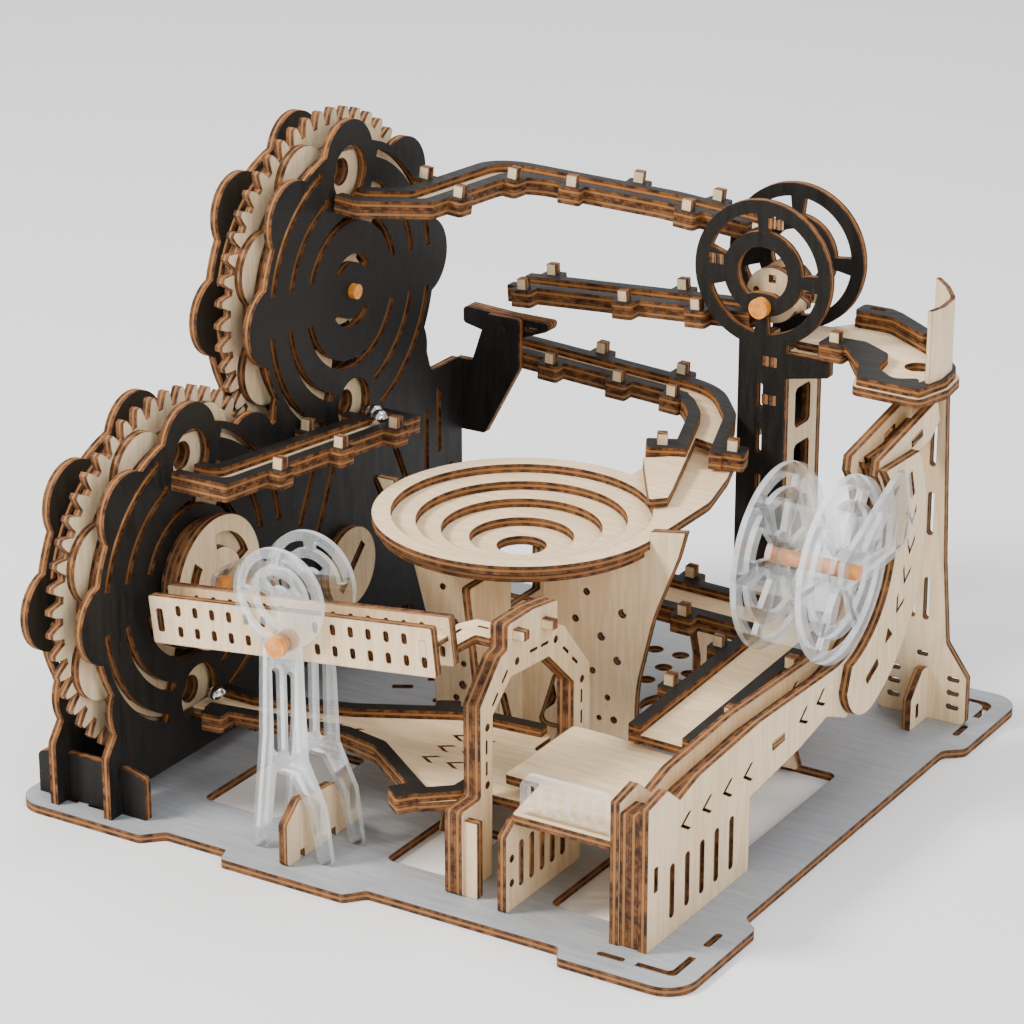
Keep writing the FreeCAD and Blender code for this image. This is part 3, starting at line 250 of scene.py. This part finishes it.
def cut_sheet(name, top, bottom, axis, start, along, shift=0.0, bent=False):
    """Laser-cut plywood: printed or bare faces, scorched edges that show the veneers.

    A bent sheet curves about the axis, so its faces are the ones that look away from it.
    """
    build = Tree(name)
    place = build.add("TexCoord")
    position, normal = place.outputs["Object"], place.outputs["Normal"]
    moved = build.vector("ADD", position, (shift, shift * 0.7, shift * 1.3))
    facing = build.vector("DOT_PRODUCT", normal, tuple(axis))
    on_face = build.ramp(build.math("ABSOLUTE", facing), *FACE_COSINE)
    if bent:
        on_face = build.inverse(on_face)
    on_edge = build.inverse(on_face)

    streaks = stretched(build, moved, axis, along)
    grain = build.noise(streaks, GRAIN_SCALE, 5.0, 0.6, 0.4)
    pores = build.ramp(build.noise(streaks, PORE_SCALE, 2.0, 0.5), 0.63, 0.72)
    patch = build.noise(moved, PATCH_SCALE, 2.0, 0.5)
    speck = build.ramp(build.noise(moved, SPECK_SCALE, 2.0, 0.6), 0.66, 0.74)
    char = build.noise(moved, CHAR_SCALE, 4.0, 0.65)
    tone = build.math("ADD", build.math("MULTIPLY", grain, GRAIN_SHARE),
                      build.math("MULTIPLY", patch, 1.0 - GRAIN_SHARE))
    tone = build.ramp(tone, 0.36, 0.64)

    dark = top is BLACK
    face = sheet_faces(build, top, bottom, facing, tone, pores, speck)
    scorch = build.math("MULTIPLY", near_corner(build), 0.25 if dark else 0.85)
    face = build.mix(scorch, face, FACE_SCORCH)
    edge = sheet_edge(build, position, axis, start, char)

    shader = build.shader()
    build.link(build.mix(on_face, edge, face), shader.inputs["Base Color"])
    face_rough = build.ramp(grain, 0.3, 0.7, *((0.46, 0.62) if dark else (0.58, 0.74)))
    build.link(build.math("ADD", build.math("MULTIPLY", on_face, face_rough),
                          build.math("MULTIPLY", on_edge, 0.8)), shader.inputs["Roughness"])
    shader.inputs["Specular IOR Level"].default_value = 0.22 if dark else 0.35
    relief = build.math("ADD", build.math("MULTIPLY", pores, -0.6),
                        build.math("MULTIPLY", grain, 0.5))
    relief = build.math("ADD", build.math("MULTIPLY", relief, on_face),
                        build.math("MULTIPLY", char, on_edge))
    build.bump(shader, relief, 0.35, 0.12 * MM)
    return build.material


def clear_sheet(name, axis, span=None):
    """Clear acrylic: faces that only reflect, and the brighter, frosted edges a laser leaves.

    Pieces that lie within the span along the axis are clear all over, such as paddle blades.
    """
    build = Tree(name)
    place = build.add("TexCoord")
    facing = build.vector("DOT_PRODUCT", place.outputs["Normal"], tuple(axis))
    on_edge = build.ramp(build.math("ABSOLUTE", facing), *FACE_COSINE, 1.0, 0.0)
    on_face = build.inverse(on_edge)
    haze = build.noise(place.outputs["Object"], 240.0, 3.0, 0.6)
    gloss = build.add("Fresnel")
    gloss.inputs["IOR"].default_value = ACRYLIC_IOR
    shader = build.shader()
    build.link(build.mix(on_edge, ACRYLIC_FACE, ACRYLIC_EDGE), shader.inputs["Base Color"])
    build.link(on_face, shader.inputs["Metallic"])
    film = build.math("MULTIPLY_ADD", gloss.outputs[0], 0.75, 0.02)
    frost = build.math("MULTIPLY", on_edge, build.ramp(haze, 0.3, 0.7, 0.29, 0.35))
    if span:
        depth = build.vector("DOT_PRODUCT", place.outputs["Object"], tuple(axis))
        inside = build.math("COMPARE", depth, sum(span) / 2, (span[1] - span[0]) / 2)
        kept = build.math("MULTIPLY_ADD", inside, BLADE_CLEARING, 1.0)
        frost = build.math("MULTIPLY", frost, kept)
    build.link(build.math("MULTIPLY_ADD", on_face, film, frost), shader.inputs["Alpha"])
    build.link(build.math("ADD", build.math("MULTIPLY", on_edge, 0.16),
                          build.ramp(haze, 0.3, 0.7, 0.03, 0.08)), shader.inputs["Roughness"])
    shader.inputs["IOR"].default_value = ACRYLIC_IOR
    ripple = build.noise(place.outputs["Object"], 1500.0, 1.0, 0.5)
    build.bump(shader, build.math("MULTIPLY", ripple, on_edge), 0.1, 0.05 * MM)
    return build.material


def orange_plastic(name):
    """Slightly mottled orange plastic of the axle ends."""
    build = Tree(name)
    place = build.add("TexCoord").outputs["Object"]
    mottle = build.noise(place, 350.0, 3.0, 0.6)
    shader = build.shader()
    build.link(build.mix(build.ramp(mottle, 0.35, 0.65), *ORANGE), shader.inputs["Base Color"])
    build.link(build.ramp(mottle, 0.3, 0.7, 0.34, 0.50), shader.inputs["Roughness"])
    shader.inputs["Subsurface Weight"].default_value = 0.08
    shader.inputs["Subsurface Scale"].default_value = 2.0 * MM
    build.bump(shader, mottle, 0.2, 0.1 * MM)
    return build.material


def polished_steel(name, centre):
    """Bright steel, shaded as the true sphere about the centre of the ball."""
    build = Tree(name)
    place = build.add("TexCoord").outputs["Object"]
    wipe = build.noise(place, 700.0, 4.0, 0.6)
    shader = build.shader()
    build.link(build.mix(wipe, *STEEL), shader.inputs["Base Color"])
    shader.inputs["Metallic"].default_value = 1.0
    build.link(build.ramp(wipe, 0.35, 0.7, 0.05, 0.12), shader.inputs["Roughness"])
    outward = build.vector("NORMALIZE", build.vector("SUBTRACT", place, tuple(centre)))
    turn = build.add("VectorTransform", vector_type="NORMAL", convert_from="OBJECT",
                     convert_to="WORLD")
    build.link(outward, turn.inputs[0])
    build.link(turn.outputs[0], shader.inputs["Normal"])
    return build.material


def paint(obj, material):
    obj.data.materials.clear()
    obj.data.materials.append(material)


def grain_direction(name, axis):
    """Grain runs upright on standing sheets and to the right on lying ones and on lanes."""
    lying = abs(axis.z) >= 0.5 or name.endswith(("_floor", "_borders"))
    along = RIGHT if lying else UP
    return (along - axis * along.dot(axis)).normalized()


def finish_nodes():
    """Every CAD node gets the finish of its slot, laid out along its own sheet."""
    for number, (name, obj) in enumerate(sorted(nodes.items())):
        kind = slots[name]
        axis = sheet_axis(obj)
        start, end = reach(obj.data.vertices, axis)
        along = grain_direction(name, axis)
        shift = 0.037 * (number + 1)      # a different stretch of grain on every node
        if kind == "wood_pale":
            bent = name == "turn_deflector"
            if bent:
                axis, along = UP, RIGHT
            material = cut_sheet("pale_" + name, PALE, PALE, axis, start, along, shift, bent)
        elif kind == "wood_black":
            material = cut_sheet("black_" + name, BLACK, BLACK, axis, start, along, shift)
        elif kind == "wood_grey":
            material = cut_sheet("grey_" + name, GREY, PALE, axis, start, along, shift)
        elif kind == "acrylic_clear":
            span = (start + CLEAR_RIM, end - CLEAR_RIM) if name == "paddle_wheel" else None
            material = clear_sheet("clear_" + name, axis, span)
        elif kind == "axle_orange":
            material = orange_plastic("orange_" + name)
        else:
            corners = [Vector(corner) for corner in obj.bound_box]
            material = polished_steel("steel_" + name, sum(corners, Vector()) / len(corners))
        paint(obj, material)


# ---- small fittings ---------------------------------------------------------------------
def tenon_ends(name, body, sheet, outward, spots):
    """Ends of tabs standing a little proud of the sheet they pass through.

    Each spot is (centre, long side, short side) in mm; sheet is the tabs' own sheet normal.
    """
    mesh = bpy.data.meshes.new(name)
    build = bmesh.new()
    for centre, long_side, short_side in spots:
        columns = (Vector(long_side), Vector(short_side), Vector(outward) * TAB_PROUD)
        shape = Matrix([column * MM for column in columns]).transposed().to_4x4()
        bmesh.ops.create_cube(build, size=1.0,
                              matrix=Matrix.Translation(Vector(centre) * MM) @ shape)
    bmesh.ops.bevel(build, geom=build.edges[:], offset=TAB_BEVEL * MM, segments=2,
                    affect="EDGES", profile=0.6)
    build.to_mesh(mesh)
    build.free()
    piece = bpy.data.objects.new(name, mesh)
    bpy.context.scene.collection.objects.link(piece)
    axis = Vector(sheet)
    start = reach(mesh.vertices, axis)[0]
    paint(piece, cut_sheet("pale_" + name, PALE, PALE, axis, start, Vector(outward), 0.5))
    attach(piece, body)


def slide_spot(y, z, lean_degrees):
    """A tab end on the slide's outer side, leaning with the lane behind it."""
    rise, run = math.sin(math.radians(lean_degrees)), math.cos(math.radians(lean_degrees))
    return ((SLIDE_FACE_X, y, z), (0, SLIDE_TAB_LENGTH * run, SLIDE_TAB_LENGTH * rise),
            (0, -SLIDE_TAB_WIDTH * rise, SLIDE_TAB_WIDTH * run))


def add_fittings():
    tall, wide = (0, 0, TOWER_TAB_HEIGHT), (TOWER_TAB_WIDTH, 0, 0)
    tenon_ends("tower_tab_ends", "board", (1, 0, 0), (0, -1, 0),
               [((x, TOWER_FACE_Y, z), tall, wide) for x, z in TOWER_TABS])
    tenon_ends("slide_tab_ends", "board", (0, 0, 1), (1, 0, 0),
               [slide_spot(*tab) for tab in SLIDE_TABS])


# ---- camera, floor and light ------------------------------------------------------------
def set_camera():
    data = bpy.data.cameras.new("camera")
    data.lens, data.sensor_width = LENS, SENSOR
    data.clip_start, data.clip_end = 0.05, 20.0
    camera = bpy.data.objects.new("camera", data)
    bpy.context.scene.collection.objects.link(camera)
    back = Vector((math.sin(AZIMUTH) * math.cos(ELEVATION),
                   -math.cos(AZIMUTH) * math.cos(ELEVATION), math.sin(ELEVATION)))
    right = UP.cross(back).normalized()
    turn = Matrix((right, back.cross(right), back)).transposed().to_4x4()
    camera.matrix_world = Matrix.Translation(CAMERA_PLACE) @ turn
    bpy.context.scene.camera = camera


def set_floor():
    """Pale floor that sweeps up into a wall behind the object."""
    mesh = bpy.data.meshes.new("floor")
    build = bmesh.new()
    profile = [(-FLOOR_REACH, 0.0), (FLOOR_BACK, 0.0)]
    profile += [(FLOOR_BACK + SWEEP_RADIUS * math.sin(angle),
                 SWEEP_RADIUS - SWEEP_RADIUS * math.cos(angle))
                for angle in (math.radians(step * 10) for step in range(1, 10))]
    profile += [(FLOOR_BACK + SWEEP_RADIUS, WALL_TOP)]
    rows = [[build.verts.new((x, y, z)) for x in (-FLOOR_REACH, FLOOR_REACH)]
            for y, z in profile]
    for low, high in zip(rows, rows[1:]):
        build.faces.new((low[0], low[1], high[1], high[0])).smooth = True
    build.to_mesh(mesh)
    build.free()
    floor = bpy.data.objects.new("floor", mesh)
    bpy.context.scene.collection.objects.link(floor)
    tree = Tree("floor")
    place = tree.add("TexCoord").outputs["Object"]
    shader = tree.shader()
    tree.link(tree.mix(tree.noise(place, 3.0, 2.0), *FLOOR), shader.inputs["Base Color"])
    shader.inputs["Roughness"].default_value = 0.6
    paint(floor, tree.material)
    floor.matrix_world = Matrix.Rotation(AZIMUTH, 4, "Z")


def add_lamp(name, place, size, power, colour=(1, 1, 1)):
    """Soft round lamp, size in metres and power in watts, aimed at the object."""
    data = bpy.data.lights.new(name, "AREA")
    data.shape, data.size, data.energy, data.color = "DISK", size, power, colour
    lamp = bpy.data.objects.new(name, data)
    bpy.context.scene.collection.objects.link(lamp)
    aim = (Vector(LIGHT_AIM) - Vector(place)).to_track_quat("-Z", "Y").to_matrix().to_4x4()
    lamp.matrix_world = Matrix.Translation(place) @ aim


def set_light():
    world = bpy.data.worlds.new("studio")
    world.use_nodes = True
    background = world.node_tree.nodes["Background"]
    background.inputs["Color"].default_value = SKY_COLOUR
    background.inputs["Strength"].default_value = SKY_STRENGTH
    bpy.context.scene.world = world
    add_lamp("key", (-0.75, -0.75, 1.05), 0.38, 30, (1.0, 0.965, 0.91))
    add_lamp("fill", (1.1, -0.6, 0.8), 0.9, 9, (0.96, 0.975, 1.0))
    add_lamp("top", (0.1, 0.5, 1.3), 0.8, 9)


finish_nodes()
add_fittings()
set_camera()
set_floor()
set_light()
